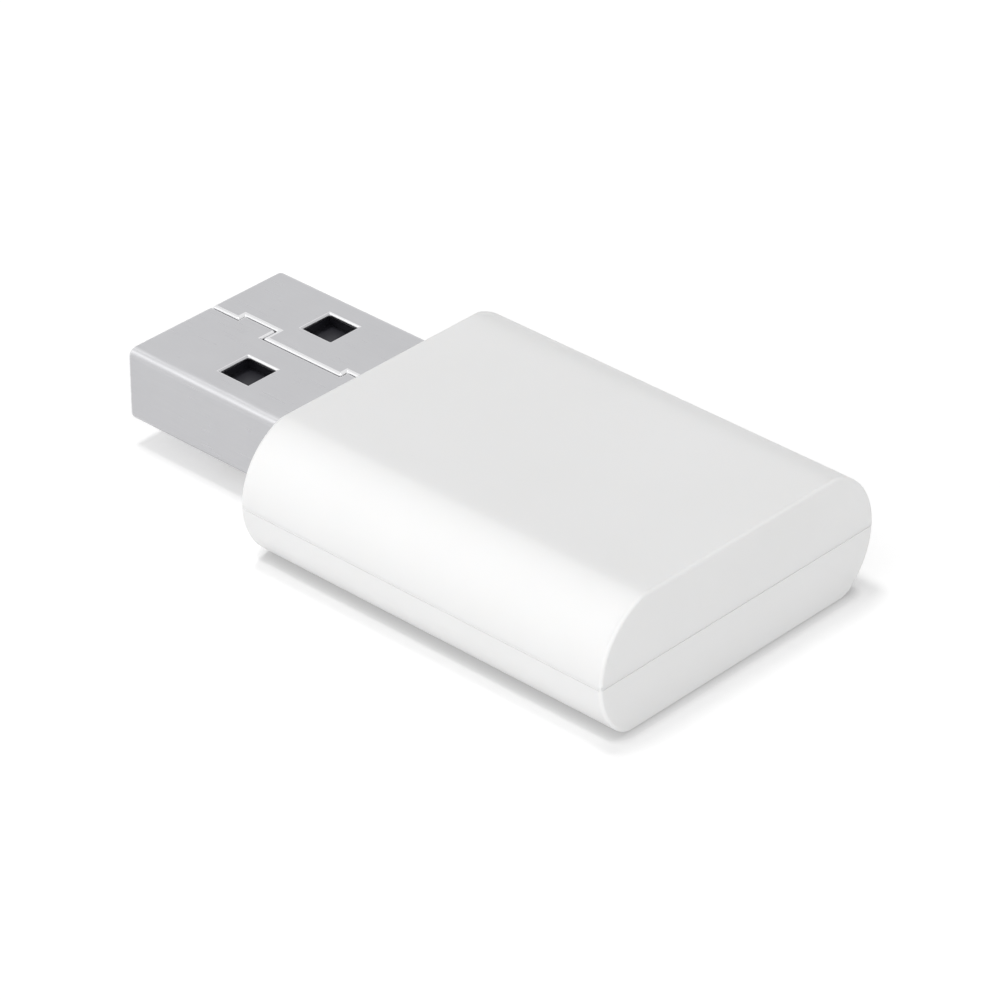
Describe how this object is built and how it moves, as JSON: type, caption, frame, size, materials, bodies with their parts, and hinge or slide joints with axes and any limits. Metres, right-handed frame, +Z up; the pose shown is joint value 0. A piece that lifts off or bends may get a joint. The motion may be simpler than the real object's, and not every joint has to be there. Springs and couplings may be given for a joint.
{
  "type": "usb signal repeater",
  "caption": "Small plug-in wireless signal repeater: a flat-ended white plastic case with rounded sides and a metal type A plug on one end.",
  "frame": {"origin": "under the middle of the whole object, on the plane of the case's flat underside", "axes": "+X from the plug's free end to the far end of the case, +Y across the case, +Z up, with the plug's seam side up"},
  "size_m": [0.0386, 0.0212, 0.0078],
  "materials": {
    "case_plastic": "white moulded plastic with a soft, even sheen",
    "plug_steel": "nickel-plated stamped steel, satin",
    "insulator_plastic": "black moulded plastic",
    "contact_metal": "gold-plated contact strip",
    "board_laminate": "green solder resist over glass laminate",
    "module_laminate": "black solder resist over glass laminate",
    "trace_copper": "bare plated copper",
    "shield_steel": "tinned steel sheet",
    "chip_plastic": "black chip resin",
    "lead_metal": "tinned lead",
    "chip_ceramic": "fired ceramic chip with tinned ends",
    "lens_resin": "clear to milky resin"
  },
  "bodies": {
    "root": {"bottom_cover": "case_plastic", "top_cover": "case_plastic", "plug_shell": "plug_steel", "plug_insulator": "insulator_plastic", "contact_power": "contact_metal", "contact_data_minus": "contact_metal", "contact_data_plus": "contact_metal", "contact_ground": "contact_metal", "main_board": "board_laminate", "ferrite_bead": "chip_ceramic", "input_capacitor": "chip_ceramic", "output_capacitor": "chip_ceramic", "led_resistor": "chip_ceramic", "status_led": "lens_resin", "regulator_body": "chip_plastic", "regulator_lead_input": "lead_metal", "regulator_lead_ground": "lead_metal", "regulator_lead_output": "lead_metal", "module_board": "module_laminate", "antenna_trace": "trace_copper", "shield_can": "shield_steel", "radio_chip": "chip_plastic", "crystal": "shield_steel"}
  },
  "joints": []
}
